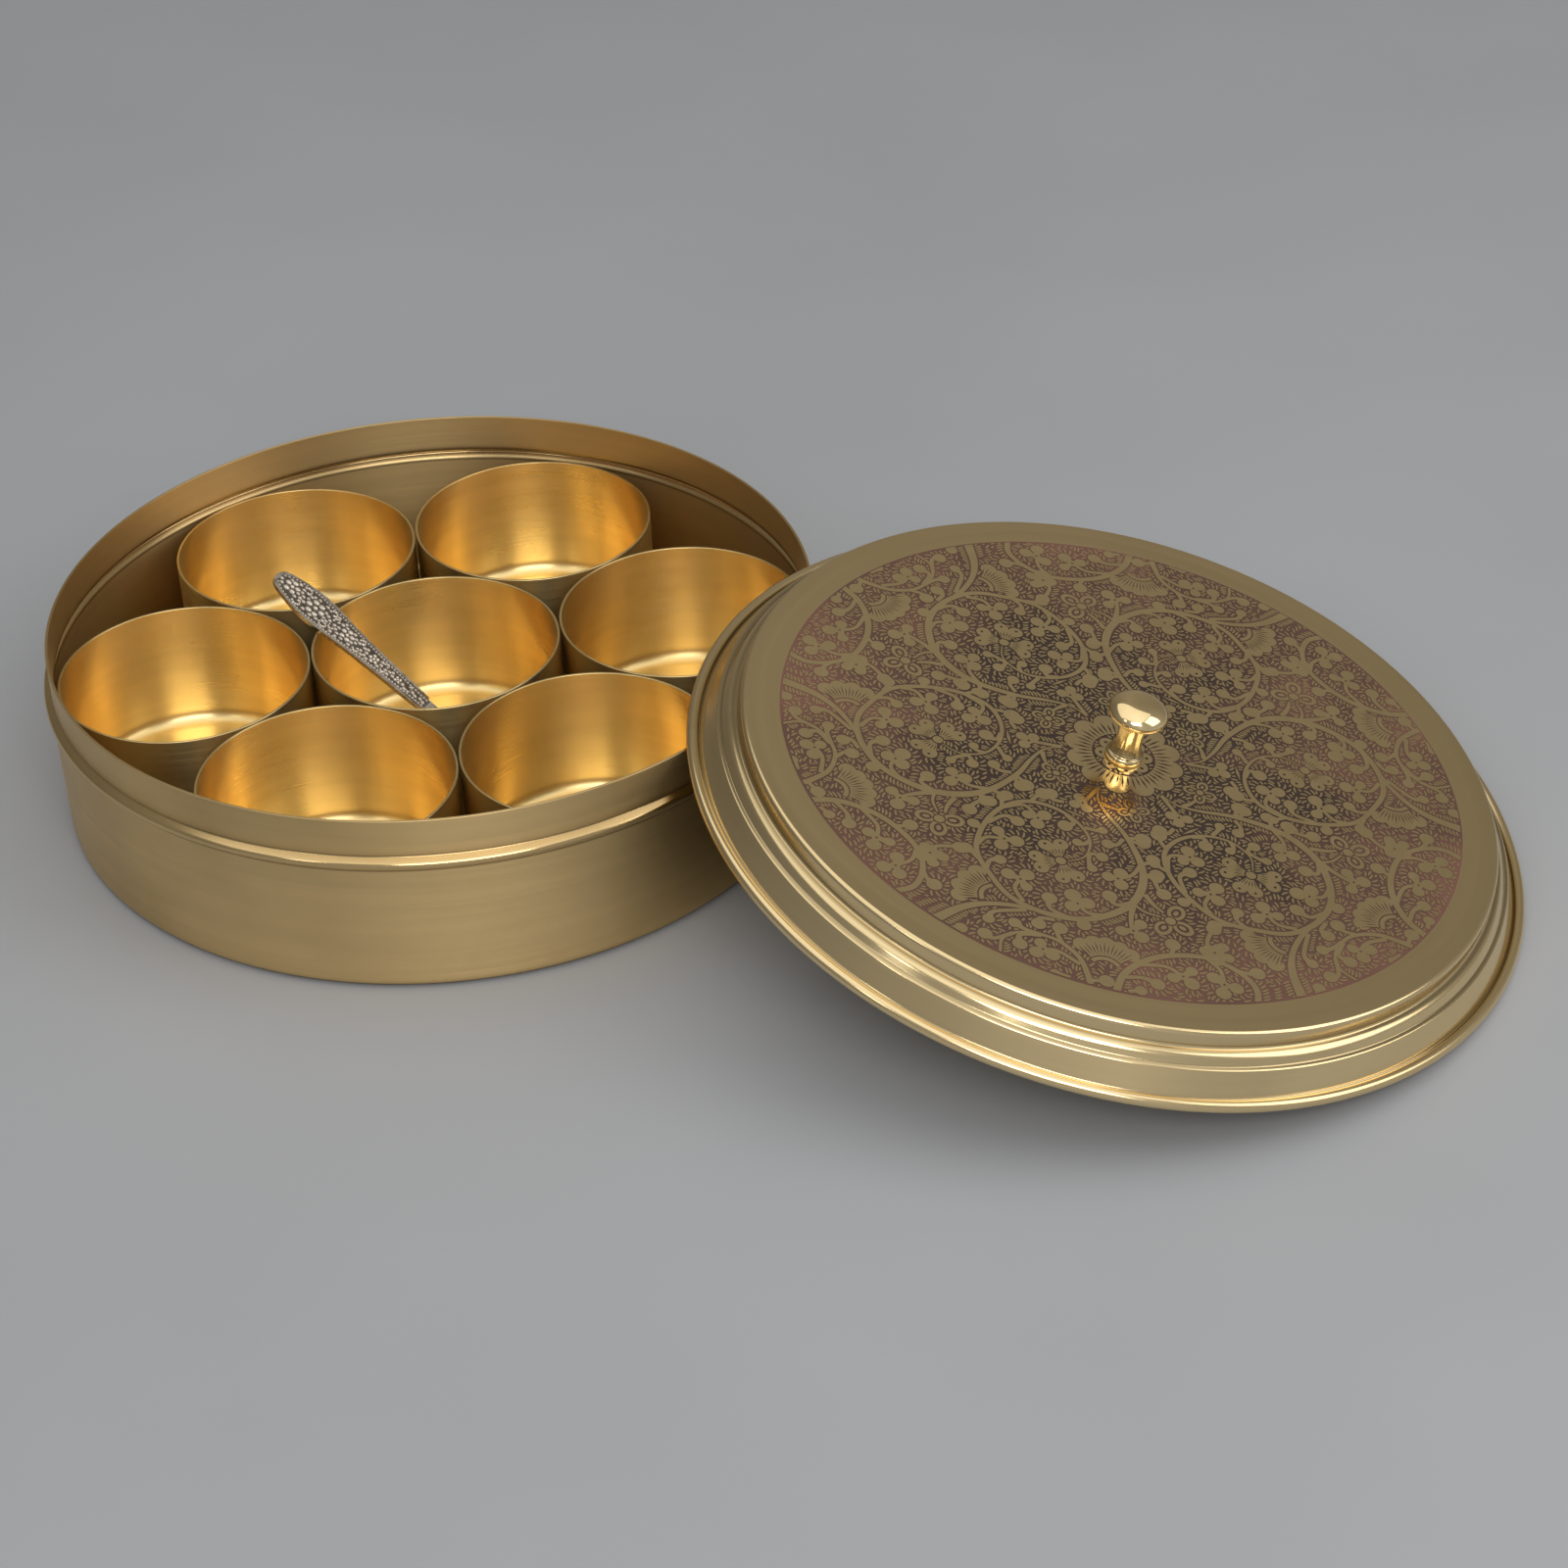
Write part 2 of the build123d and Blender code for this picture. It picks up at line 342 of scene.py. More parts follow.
# Each ring of painted shade: which part of the place, where it is, half its width and its depth.
box_shade_rings = [("Z", BEAD_FOOT, 0.5, 0.55), ("Z", BEAD_TOP, 0.4, 0.45), ("Z", BOX_FLOOR_EDGE, 1.0, 0.6)]
box_brass = turned_brass(
    "box_brass", BOX_BRASS, BOX_TARNISH, Vector(), upright, BOX_GLOSS, BOX_LINE_DEPTH,
    brushed=BOX_BRUSHED, shade_rings=box_shade_rings, dull_inside=True, rubbed=("Z", BEAD_MIDDLE, 3.0, 0.6),
)
box_section = sheet_section(bent_line(BOX_LINE, BOX_BENDS, 1), BOX_WALL, EDGE_ROUND)
spun("box_spun", [box_section], Vector(), upright, BOX_STEPS, "box", "box_body", box_brass)


# Cups: seven alike, spun from thin brass sheet and left loose in the box. Inside and out
# they are brushed round, which draws the light into soft upright streaks.
CUP_BRASS = (0.92, 0.71, 0.34)
CUP_TARNISH = (0.80, 0.57, 0.23)
CUP_GLOSS = 0.30
CUP_LINE_DEPTH = 0.03
CUP_BRUSHED = 0.75
CUP_WALL = 0.7
CUP_BEND = 4.0
CUP_FLOOR_EDGE = 3.4
CUP_STEPS = 200

cup_names = sorted(name for name in nodes if name.startswith("cup_"))
for number, cup_name in enumerate(cup_names):
    low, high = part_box(cup_name)
    foot = Vector(((low.x + high.x) / 2, (low.y + high.y) / 2, low.z))
    # A ring of painted shade darkens the bend at the foot of each cup's wall.
    cup_brass = turned_brass(
        cup_name + "_brass", CUP_BRASS, CUP_TARNISH, foot, upright, CUP_GLOSS, CUP_LINE_DEPTH,
        brushed=CUP_BRUSHED, shift=3.1 * number, shade_rings=[("Z", CUP_FLOOR_EDGE, 1.4, 0.18)], tarnished=0.7,
    )
    radius, height = (high.x - low.x) / 2 / MM, (high.z - low.z) / MM
    cup_line = bent_line([(0, 0), (radius, 0), (radius, height)], [CUP_BEND], 1)
    cup_section = sheet_section(cup_line, CUP_WALL, EDGE_ROUND)
    new_name = cup_name + "_spun"
    spun(new_name, [cup_section], foot, upright, CUP_STEPS, cup_name, cup_name, cup_brass)


# Spoon: pressed from one strip of white metal, with a shallow oval bowl and a leaf-shaped
# handle. The handle's top is struck with flowers, scrolls and beads inside a plain edge, and
# dark oxide stays in the hollows of the relief.
SPOON_PLACE = (-30.488, 10.736, 40.208)
SPOON_WAY = radians(-31.0)
SPOON_SLOPE = radians(32.0)
SPOON_SILVER = (0.64, 0.565, 0.47)
SPOON_OXIDE = (0.15, 0.122, 0.096)
OXIDE_STAINS = (6, 500, 500)
HANDLE_SIDE = [
    (-20.0, 0.0), (-18.9, 2.2), (-15.9, 4.1), (-11.5, 5.35), (-7.2, 5.75),
    (1.0, 5.2), (9.6, 4.25), (20.0, 3.25), (33.5, 2.4), (38.0, 2.2),
]
HANDLE_TOP = 0.6
RELIEF_EDGE = 0.6
RELIEF_START = -18.9
RELIEF_END = 36.5
RELIEF_STEP = 0.17
RELIEF_COLUMNS = 56
RELIEF_FLAT = 0.03
RELIEF_SUNK = -0.02
HEART_RISE = 0.45
PETAL_RISE = 0.42
SCROLL_RISE = 0.38
EDGE_BEAD_RISE = 0.24
EDGE_BEAD_SPACING = 1.05
FILLING_RISE = 0.3

spoon_forward = Vector((cos(SPOON_WAY), sin(SPOON_WAY), 0))
spoon_along = spoon_forward * cos(SPOON_SLOPE) - upright * sin(SPOON_SLOPE)
spoon_up = spoon_forward * sin(SPOON_SLOPE) + upright * cos(SPOON_SLOPE)
spoon_side = spoon_up.cross(spoon_along)
spoon_turn = Matrix((spoon_along, spoon_side, spoon_up)).transposed().to_4x4()
spoon_place = Matrix.Translation(Vector(SPOON_PLACE) * MM) @ spoon_turn @ Matrix.Scale(MM, 4)


def at(centre, way, reach):
    """The point that lies a reach from a centre, in a direction in degrees."""
    return centre[0] + reach * cos(radians(way)), centre[1] + reach * sin(radians(way))


def handle_half(along):
    """Half the handle's width at one place along it."""
    for (a, half_a), (b, half_b) in zip(HANDLE_SIDE, HANDLE_SIDE[1:]):
        if a <= along <= b:
            return half_a + (half_b - half_a) * (along - a) / (b - a)
    return 0.0


def relief_bumps():
    """Domes of the struck pattern: place on the handle, radius and height."""
    bumps = []

    def flower(centre, petals, reach, size, turn=0.0):
        """A heart with round petals about it."""
        bumps.append((*centre, 0.75 * size, HEART_RISE))
        for k in range(petals):
            bumps.append((*at(centre, turn + 360 * k / petals, reach), size, PETAL_RISE))

    def scroll(along, across, start, sweep, reach, size):
        """A curl of shrinking domes, and its mirror image across the handle."""
        for side in (-1, 1):
            for k in range(9):
                share = k / 8
                way = side * (start - sweep * share)
                spot = at((along, across * side), way, reach * (1 - 0.75 * share))
                bumps.append((*spot, size * (1 - 0.35 * share), SCROLL_RISE))

    flower((-14.4, 0.3), 5, 1.75, 1.05, 20)
    flower((-5.4, 0.0), 6, 2.2, 1.15)
    flower((6.4, 0.2), 5, 1.6, 0.95, 15)
    flower((16.6, 0.0), 5, 1.15, 0.7, 40)
    flower((25.6, 0.0), 4, 0.8, 0.55, 45)
    scroll(-10.2, 2.6, 150, 250, 1.6, 0.5)
    scroll(-0.4, 2.6, 170, 260, 1.5, 0.48)
    scroll(1.8, 1.5, 200, 240, 1.2, 0.42)
    scroll(11.2, 1.6, 160, 260, 1.2, 0.42)
    scroll(20.8, 1.1, 170, 250, 0.9, 0.36)
    scroll(30.0, 0.7, 170, 250, 0.6, 0.3)
    for side in (-1, 1):
        along = -18.2
        while along < RELIEF_END - 0.6:
            across = side * (handle_half(along) - RELIEF_EDGE - 0.45)
            bumps.append((along, across, 0.42, EDGE_BEAD_RISE))
            along += EDGE_BEAD_SPACING
    along = -18.4
    while along < RELIEF_END - 0.5:
        reach = handle_half(along) - RELIEF_EDGE - 0.6
        for k in range(-7, 8):
            x, y = along + 0.3 * sin(5.1 * k + along), 1.02 * k + 0.25 * sin(2.3 * along + k)
            clear = all((x - a) ** 2 + (y - b) ** 2 > (0.75 * c + 0.5) ** 2 for a, b, c, _ in bumps)
            if abs(y) < reach and clear:
                bumps.append((x, y, 0.75, FILLING_RISE))
        along += 0.8
    return bumps


def relief_height(along, across, bumps):
    """Height of the struck pattern over the flat of the handle."""
    height = RELIEF_FLAT
    for x, y, size, rise in bumps:
        gap = (along - x) ** 2 + (across - y) ** 2
        if gap < size * size:
            height = max(height, rise * (1 - gap / (size * size)))
    return height


def struck_relief():
    """The top of the handle as a fine grid, lowered to the flat all round its edge."""
    bumps = relief_bumps()
    rows, columns = round((RELIEF_END - RELIEF_START) / RELIEF_STEP), RELIEF_COLUMNS
    points, faces = [], []
    for row in range(rows + 1):
        along = RELIEF_START + (RELIEF_END - RELIEF_START) * row / rows
        reach = max(handle_half(along) - RELIEF_EDGE, 0.2)
        close = [bump for bump in bumps if abs(bump[0] - along) < bump[2]]
        for column in range(columns + 1):
            across = reach * (2 * column / columns - 1)
            height = relief_height(along, across, close)
            if row in (0, rows) or column in (0, columns):
                height = RELIEF_SUNK
            points.append(spoon_place @ Vector((along, across, HANDLE_TOP + height)))
    for row in range(rows):
        for column in range(columns):
            first = row * (columns + 1) + column
            faces.append((first + columns + 1, first + columns + 2, first + 1, first))
    mesh = bpy.data.meshes.new("spoon_relief")
    mesh.from_pydata(points, [], faces)
    mesh.polygons.foreach_set("use_smooth", [True] * len(faces))
    piece = in_scene("spoon_relief", mesh)
    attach(piece, "spoon")
    return piece


def old_silver(name, low, high):
    """White metal, dark in the hollows and rubbed bright on the high parts."""
    material, shader = new_finish(name)
    place = turned_place(material, Vector(SPOON_PLACE) * MM, spoon_up)
    stains = streaks(material, place, OXIDE_STAINS, 4, 4)
    rubbed = spread(material, parts_of(material, place)["Z"], low * MM, high * MM, 0.0, 1.0)
    patchy = spread(material, stains, *NOISE_MIDDLE, 0.75, 1.1)
    shine = reckon(material, "MULTIPLY", rubbed, patchy, clamp=True)
    wire(material, blended(material, shine, SPOON_OXIDE, SPOON_SILVER), shader.inputs["Base Color"])
    wire(material, spread(material, stains, *NOISE_MIDDLE, 0.18, 0.34), shader.inputs["Roughness"])
    return material


relief_foot, relief_top = HANDLE_TOP - 0.02, HANDLE_TOP + 0.3
struck_relief().data.materials.append(old_silver("struck_silver", relief_foot, relief_top))
# The spoon itself is blended darker the further it lies below its handle, from 3 mm to 30 mm down.
dress("spoon", old_silver("spoon_silver", -30, -3))


# Lid: one spun brass sheet, with a flat top, a step, a shoulder, a small lip and a flaring
# skirt. It is buffed bright, and shade is painted as dark bands into the narrow angles between them.
LID_BRASS = (0.85, 0.665, 0.365)
LID_TARNISH = (0.70, 0.53, 0.27)
LID_GLOSS = 0.15
LID_LINE_DEPTH = 0.05
LID_TARNISHED = 0.6
LID_TILT = radians(14.33)
LID_BEARING = radians(-22.1)
LID_WALL = 0.6
LID_HOLE = 2.2
LID_LINE = [
    (LID_HOLE, 0), (101.2, 0), (101.4, -4.6), (103.4, -5.0),
    (105.0, -7.3), (106.1, -7.5), (109.6, -13.3), (110.24, -13.64),
]
LID_BENDS = [1.3, 0.7, 3.0, 0.7, 0.8, 0.7]
ROLL_MIDDLE = Vector((111.3, -14.2))
ROLL_HALF = 1.55
ROLL_STEPS = 28
LID_STEPS = 480
STEP_FOOT = -4.8
LIP_TOP = -7.3
RIM_ANGLE = 109.9

lid_up = Vector((sin(LID_TILT) * cos(LID_BEARING), sin(LID_TILT) * sin(LID_BEARING), cos(LID_TILT)))
wire_low, wire_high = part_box("rim_wire")
wire_middle = (wire_low + wire_high) / 2
lid_depth = max(lid_up.dot(v.co - wire_middle) for v in nodes["lid_shell"].data.vertices)
lid_middle = wire_middle + lid_up * lid_depth
# Painted shade: dark bands at the foot of the step, at the top of the lip and where the roll meets the
# skirt.
lid_shade_rings = [("Z", STEP_FOOT, 0.35, 0.45), ("Z", LIP_TOP, 0.3, 0.5), ("Y", RIM_ANGLE, 0.4, 0.75)]
lid_brass = turned_brass(
    "lid_brass", LID_BRASS, LID_TARNISH, lid_middle, lid_up, LID_GLOSS, LID_LINE_DEPTH,
    shade_rings=lid_shade_rings, tarnished=LID_TARNISHED,
)
lid_section = sheet_section(bent_line(LID_LINE, LID_BENDS, -1), LID_WALL, EDGE_ROUND)
roll_turns = [tau * k / ROLL_STEPS for k in range(ROLL_STEPS)]
roll_ways = [Vector((cos(turn), sin(turn))) for turn in roll_turns]
roll_section = [(ROLL_MIDDLE + way * ROLL_HALF, way) for way in roll_ways]
lid_sections = [lid_section, roll_section]
spun("lid_spun", lid_sections, lid_middle, lid_up, LID_STEPS, "lid", "lid_shell", lid_brass)


# Rim wire: a ring of drawn steel wire, closed into the roll at the lid's edge to stiffen it.
# Only its joint would show on the real lid.
WIRE_STEEL = (0.46, 0.44, 0.42)
WIRE_GLOSS = 0.35
STEEL_MARKS = (3, 1500, 1500)


def drawn_steel(name, tone, gloss, middle, upward):
    """Plain steel with fine marks from drawing or turning."""
    material, shader = new_finish(name)
    marks = streaks(material, turned_place(material, middle, upward), STEEL_MARKS, 4, 7)
    shade = blended(material, marks, [0.7 * part for part in tone], tone)
    wire(material, shade, shader.inputs["Base Color"])
    rougher = spread(material, marks, *NOISE_MIDDLE, gloss, gloss + 0.15)
    wire(material, rougher, shader.inputs["Roughness"])
    return material


dress("rim_wire", drawn_steel("wire_steel", WIRE_STEEL, WIRE_GLOSS, wire_middle, lid_up))


# Engraving: a traditional scroll of vines, buds and flowers, cut into the lid's flat top. The
# ground is cut away and blackened, and the motifs stand up from it as bare brass. Short
# ridges left between the tool's strokes hatch the ground. One sixth is drawn, and turned.
PATTERN_RADIUS = 91.2
PATTERN_LINE = 0.45
EDGE_TRIM = 12
PATTERN_TURNS = 6
MOTIF_LIFT = 0.12
GROUND_LIFT = 0.015
GROUND_BLACK = (0.052, 0.031, 0.024)
GROUND_RED = (0.21, 0.10, 0.07)
GROUND_CLOUDS = (2, 25, 25)
WORN_FROM = 45
WORN_TO = 92
GROUND_STEPS = 240
STEM_GROWTH = -0.02
LEAF_GROWTH = 1.08

# Ridges, in millimetres and radians: the dark line kept along the brass, their pitch, slant,
# bend and form, the room they need from brass and from each other, and the lengths tried.
DARK_LINE = 0.32
MARK_PITCH = 0.3
TOUCHING = 0.05
ON_BRASS = 0.01
RIM_ROOM = 0.7
RIDGE_PITCH = 1.0
RIDGE_SLANT = 0.38
RIDGE_BEND = 0.28
RIDGE_HALF_WIDTH = 0.31
RIDGE_FOOT = 0.05
RIDGE_SHOULDER = 0.22
RIDGE_TIP = 0.8
RIDGE_ROOM = (0.28, 0.45, 0.3)
RIDGE_SPACING = (0.78, 0.78, 0.7)
RIDGE_CELL = 1.5
RIDGE_LENGTHS = (2.3, 2.0, 1.7, 1.4, 1.15)
FILLING_STEP = 0.5
FILLING_LENGTHS = ((2.2, 1.8, 1.4), (1.1, 0.75))
FILLING_SLANTS = (0.0, 3.14, 0.35, -0.35, 2.79, 3.49, 1.57)

# The pattern's own axes: x to the right and y away from the viewer, both in the lid's plane.
pattern_x = (Vector((1, 0, 0)) - lid_up * lid_up.x).normalized()
pattern_y = lid_up.cross(pattern_x)
pattern_turn = Matrix((pattern_x, pattern_y, lid_up)).transposed().to_4x4()
pattern_place = Matrix.Translation(lid_middle) @ pattern_turn @ Matrix.Scale(MM, 4)

# Places are in millimetres from the lid's middle. A vine has its places and half widths, a
# spray its lobes (with radii) and stalk, and a bud its place and radius, bend and root.
ROUND_VINE = [
    (-15.7, -0.2), (-21.1, -1.9), (-25.3, -6.8), (-30.0, -14.3), (-37.9, -22.0),
    (-46.2, -25.3), (-55.1, -24.8), (-64.8, -19.3), (-70.1, -10.5), (-71.0, -0.8),
    (-67.2, 6.8), (-60.9, 14.1), (-51.5, 16.8), (-42.4, 16.4), (-35.3, 12.6),
    (-32.4, 5.8), (-33.4, -1.6), (-37.6, -7.1), (-44.1, -8.7), (-49.1, -5.8),
]
VINES = [
    (ROUND_VINE, (0.1, 1.15, 0.75, 0.7, 0.2)),
    ([(-70.6, -8.4), (-73.2, -2.3), (-77.4, 3.6), (-82.9, 7.8), (-91.0, 11.0)], (0.6, 0.8, 1.4)),
    ([(-50.0, -25.2), (-56.7, -27.2), (-60.9, -29.2)], (1.0, 0.4)),
    (
        [(-90.7, -6.8), (-85.9, -5.2), (-81.5, -7.1), (-78.4, -11.7), (-77.3, -16.8),
         (-79.2, -23.0), (-83.3, -27.2), (-85.9, -29.2)],
        (0.4, 0.55, 0.9),
    ),
    (
        [(-84.2, -35.3), (-77.3, -34.3), (-69.7, -36.3), (-63.2, -40.8), (-57.8, -48.3),
         (-56.9, -55.9), (-59.3, -62.2), (-64.2, -65.1)],
        (1.0, 0.9, 0.75, 0.9),
    ),
    ([(-51.8, -33.2), (-52.8, -29.2), (-52.0, -25.6)], (0.3, 0.5)),
    ([(-49.9, -33.2), (-48.9, -30.0), (-46.8, -26.6)], (0.4, 0.8)),
    ([(-31.0, 3.4), (-30.8, 0.6), (-30.5, -2.0)], (0.1, 0.45, 0.1)),
    ([(-22.2, -3.2), (-21.8, -6.6), (-20.6, -9.8)], (0.8, 0.5, 0.3)),
]
SPRAYS = [
    ([(-54.8, 10.0, 1.8), (-50.5, 13.0, 1.6), (-50.9, 7.5, 1.9)],
     [(-52.2, 10.4), (-54.8, 14.3), (-58.6, 14.9)]),
    ([(-63.5, 3.9, 1.8), (-60.6, 0.0, 1.9), (-64.8, -1.8, 1.5)],
     [(-63.2, 0.6), (-67.2, 0.3), (-70.3, -3.6)]),
    ([(-63.5, -13.9, 1.8), (-59.6, -12.3, 2.1), (-59.9, -16.5, 1.9)],
     [(-61.6, -14.6), (-63.0, -18.1), (-60.9, -22.0)]),
    ([(-47.0, -16.5, 1.6), (-43.7, -18.5, 1.8), (-47.6, -20.4, 1.8)],
     [(-46.0, -18.8), (-42.4, -21.1), (-37.6, -21.4)]),
    ([(-41.1, 6.2, 1.8), (-36.8, 6.2, 1.8), (-39.5, 9.7, 1.5)],
     [(-38.9, 7.1), (-36.8, 12.0), (-41.1, 15.9)]),
    ([(-63.2, -27.5, 1.6), (-62.0, -32.4, 1.9), (-57.8, -30.3, 1.6)],
     [(-61.2, -29.8), (-59.6, -28.5), (-56.7, -27.2)]),
    ([(-27.2, 1.9, 1.5), (-24.0, 2.1, 1.5), (-26.7, -1.3, 1.5)],
     [(-25.4, 0.5), (-21.9, 0.2), (-16.7, -0.2)]),
    ([(-84.6, -13.9, 1.8), (-81.0, -13.3, 1.5), (-82.9, -17.5, 1.8)],
     [(-82.6, -14.7), (-80.7, -18.1), (-81.3, -24.3)]),
    ([(-70.0, -44.6, 1.6), (-64.8, -47.3, 1.5), (-68.9, -49.1, 1.9)],
     [(-68.0, -46.3), (-67.6, -41.5), (-71.3, -36.1)]),
    ([(-63.2, -52.6, 1.8), (-66.7, -56.7, 1.9), (-62.9, -58.6, 1.8)],
     [(-63.7, -55.7), (-59.6, -52.8), (-58.0, -48.6)]),
    ([(-54.1, -47.5, 1.3), (-51.4, -50.2, 1.5), (-54.1, -52.8, 1.5)],
     [(-54.1, -49.9), (-55.7, -48.9), (-57.7, -48.0)]),
    ([(-69.2, 20.7, 1.6), (-68.7, 24.6, 1.6), (-72.4, 23.7, 1.8)],
     [(-70.0, 22.7), (-66.4, 22.4), (-63.0, 18.1)]),
]
BUDS = [
    ((-60.1, 7.8, 1.6), (-62.2, 9.7), (-66.1, 8.9)),
    ((-64.6, -8.1, 1.9), (-68.0, -10.0), (-67.7, -16.2)),
    ((-53.5, -19.8, 1.9), (-55.4, -22.4), (-52.2, -25.1)),
    ((-36.8, 0.3, 1.9), (-34.3, -1.0), (-32.7, 1.9)),
    ((-43.7, 10.7, 1.8), (-44.1, 14.3), (-49.6, 16.5)),
    ((-40.5, -4.9, 1.3), (-39.9, -6.5), (-37.6, -7.1)),
    ((-31.8, -8.1, 1.3), (-33.0, -6.5), (-34.0, -3.9)),
    ((-63.0, 17.7, 1.9), (-62.2, 15.2), (-63.5, 12.3)),
    ((-52.2, 19.1, 1.6), (-52.5, 17.8), (-53.1, 16.5)),
    ((-42.6, 20.7, 1.6), (-40.5, 22.7), (-38.2, 22.0)),
    ((-37.9, 17.8, 1.5), (-39.5, 17.2), (-41.5, 16.2)),
    ((-29.2, 10.0, 2.1), (-31.1, 11.0), (-33.7, 11.3)),
    ((-30.5, 15.9, 1.9), (-29.5, 17.8), (-27.9, 18.8)),
    ((-27.7, -17.8, 2.1), (-28.8, -15.9), (-30.1, -14.6)),
    ((-21.4, -19.8, 1.9), (-21.1, -22.0), (-18.1, -22.4)),
    ((-33.2, -23.0, 1.8), (-34.7, -22.7), (-36.6, -21.7)),
    ((-35.6, -11.3, 1.6), (-34.3, -13.3), (-31.1, -13.6)),
    ((-41.3, -12.2, 1.6), (-41.5, -10.4), (-42.4, -9.1)),
    ((-47.0, -12.0, 1.3), (-45.4, -10.4), (-42.4, -9.1)),
    ((-78.7, -5.2, 1.6), (-79.1, -8.1), (-78.1, -12.3)),
    ((-87.2, -1.0, 1.8), (-87.2, -3.6), (-82.3, -6.5)),
    ((-81.8, 0.6, 1.5), (-78.4, 0.6), (-72.6, -5.5)),
    ((-75.0, -10.0, 1.8), (-72.9, -9.4), (-71.0, -12.6)),
    ((-84.7, -9.4, 1.8), (-81.6, -8.1), (-78.4, -12.3)),
    ((-72.9, -14.9, 1.9), (-74.8, -14.9), (-77.3, -17.5)),
    ((-67.7, -19.1, 1.8), (-66.7, -18.1), (-65.4, -18.8)),
    ((-74.8, -42.4, 1.8), (-75.2, -38.6), (-78.1, -34.7)),
    ((-82.3, -31.9, 1.9), (-83.3, -30.5), (-84.6, -28.8)),
    ((-59.1, -39.7, 1.9), (-60.9, -40.5), (-63.2, -40.8)),
    ((-45.4, -45.4, 1.8), (-43.7, -46.3), (-42.4, -48.6)),
    ((-54.3, -60.8, 1.9), (-56.1, -58.6), (-56.9, -55.9)),
    ((-37.9, -26.2, 1.9), (-38.9, -24.9), (-40.5, -24.0)),
    ((-43.4, -30.5, 1.9), (-42.4, -28.5), (-40.5, -26.6)),
    ((-79.7, -40.0, 1.5), (-80.7, -38.9), (-82.0, -37.6)),
    ((-89.4, 4.5, 1.6), (-90.1, 5.5), (-91.0, 6.5)),
    ((-88.3, -20.7, 1.3), (-87.6, -22.4), (-87.2, -24.3)),
]
BIG_FLOWER = (-49.9, -4.5)
BIG_PETAL_WAYS = (44, 134, 228)
RING_FLOWER = (-51.5, -35.8)
RING_PETALS = ((173, 2.2), (0, 2.3), (264, 2.3))
SMALL_FLOWER = (-19.1, -11.2)
SMALL_PETAL_WAYS = (140, 220, 309, 47)
FANS = (((-73.2, 2.4), 92, 4, 23), ((-78.9, -30.0), 22, 5, 20))
FAN_BAND = (3.4, 4.6)
FAN_FOOT = 5.0
FAN_REACH = 9.5
FAN_LOBE = 2.3
ROSE_LOBES = 12
ROSE_REACH = 12.6
ROSE_RAYS = 48
KNOB_SEAT = 4.75

BARE, CUT = True, False
drawn = []


def draw_round(centre, radius, kind=BARE, corners=14):
    """A round dot, bud or lobe."""
    drawn.append(([at(centre, 360 * k / corners, radius) for k in range(corners)], kind))


def draw_petal(centre, way, reach, length, width, kind=BARE):
    """An oval that lies along a direction, with its middle a reach from a centre."""
    along, across = at((0, 0), way, 0.5 * length), at((0, 0), way + 90, 0.5 * width)
    middle = at(centre, way, reach)
    corners = []
    for k in range(16):
        part, rest = cos(tau * k / 16), sin(tau * k / 16)
        corners.append(tuple(m + a * part + b * rest for m, a, b in zip(middle, along, across)))
    drawn.append((corners, kind))


def draw_ray(centre, way, start, end, half_width, kind=CUT):
    """A thin tapered stroke that points away from a centre."""
    near, far = at(centre, way, start), at(centre, way, end)
    middle = at(centre, way, 0.45 * start + 0.55 * end)
    side = (half_width * sin(radians(way)), -half_width * cos(radians(way)))
    left = (middle[0] - side[0], middle[1] - side[1])
    right = (middle[0] + side[0], middle[1] + side[1])
    drawn.append(([near, right, far, left], kind))


def draw_band(centre, inner, outer, start, end, kind=BARE, steps=8):
    """Part of a flat ring round a centre, from one direction to another."""
    ways = [start + (end - start) * k / steps for k in range(steps + 1)]
    for one, after in zip(ways, ways[1:]):
        spots = ((one, inner), (one, outer), (after, outer), (after, inner))
        drawn.append(([at(centre, way, reach) for way, reach in spots], kind))


def through(points, steps=5):
    """A smooth line through given points."""
    first = tuple(2 * a - b for a, b in zip(points[0], points[1]))
    last = tuple(2 * a - b for a, b in zip(points[-1], points[-2]))
    held = [Vector(p) for p in (first, *points, last)]
    line = []
    for a, b, c, d in zip(held, held[1:], held[2:], held[3:]):
        for k in range(steps):
            t = k / steps
            bend, sway = 2 * a - 5 * b + 4 * c - d, 3 * b - a - 3 * c + d
            line.append(0.5 * (2 * b + (c - a) * t + bend * t**2 + sway * t**3))
    return line + [held[-2]]


def draw_vine(points, half_widths, steps=5, growth=0.0):
    """A stem that swells and thins along its length, as a chain of short quads."""
    line = through(points, steps)
    sides = []
    for k, spot in enumerate(line):
        way = (line[min(k + 1, len(line) - 1)] - line[max(k - 1, 0)]).normalized()
        share = k / (len(line) - 1) * (len(half_widths) - 1)
        whole = min(int(share), len(half_widths) - 2)
        start, end = half_widths[whole : whole + 2]
        out = Vector((-way.y, way.x)) * (start + (end - start) * (share - whole) + growth)
        sides.append((tuple(spot + out), tuple(spot - out)))
    for one, after in zip(sides, sides[1:]):
        drawn.append(([one[0], one[1], after[1], after[0]], BARE))


def draw_fan(centre, way, lobes, spacing):
    """A palmette: a curved band, a gap and a scalloped fan with fine rays."""
    half = spacing * (lobes - 1) / 2
    draw_band(centre, *FAN_BAND, way - half - 16, way + half + 16)
    draw_band(centre, FAN_FOOT, FAN_REACH, way - half - 8, way + half + 8)
    for k in range(lobes):
        draw_round(at(centre, way - half + k * spacing, FAN_REACH), FAN_LOBE, corners=18)
    rays = round((2 * half + 14) / 7)
    for k in range(rays + 1):
        ray_way = way - half - 7 + k * (2 * half + 14) / rays
        draw_ray(centre, ray_way, FAN_FOOT, 9.2 + 0.8 * (k % 2), 0.17)


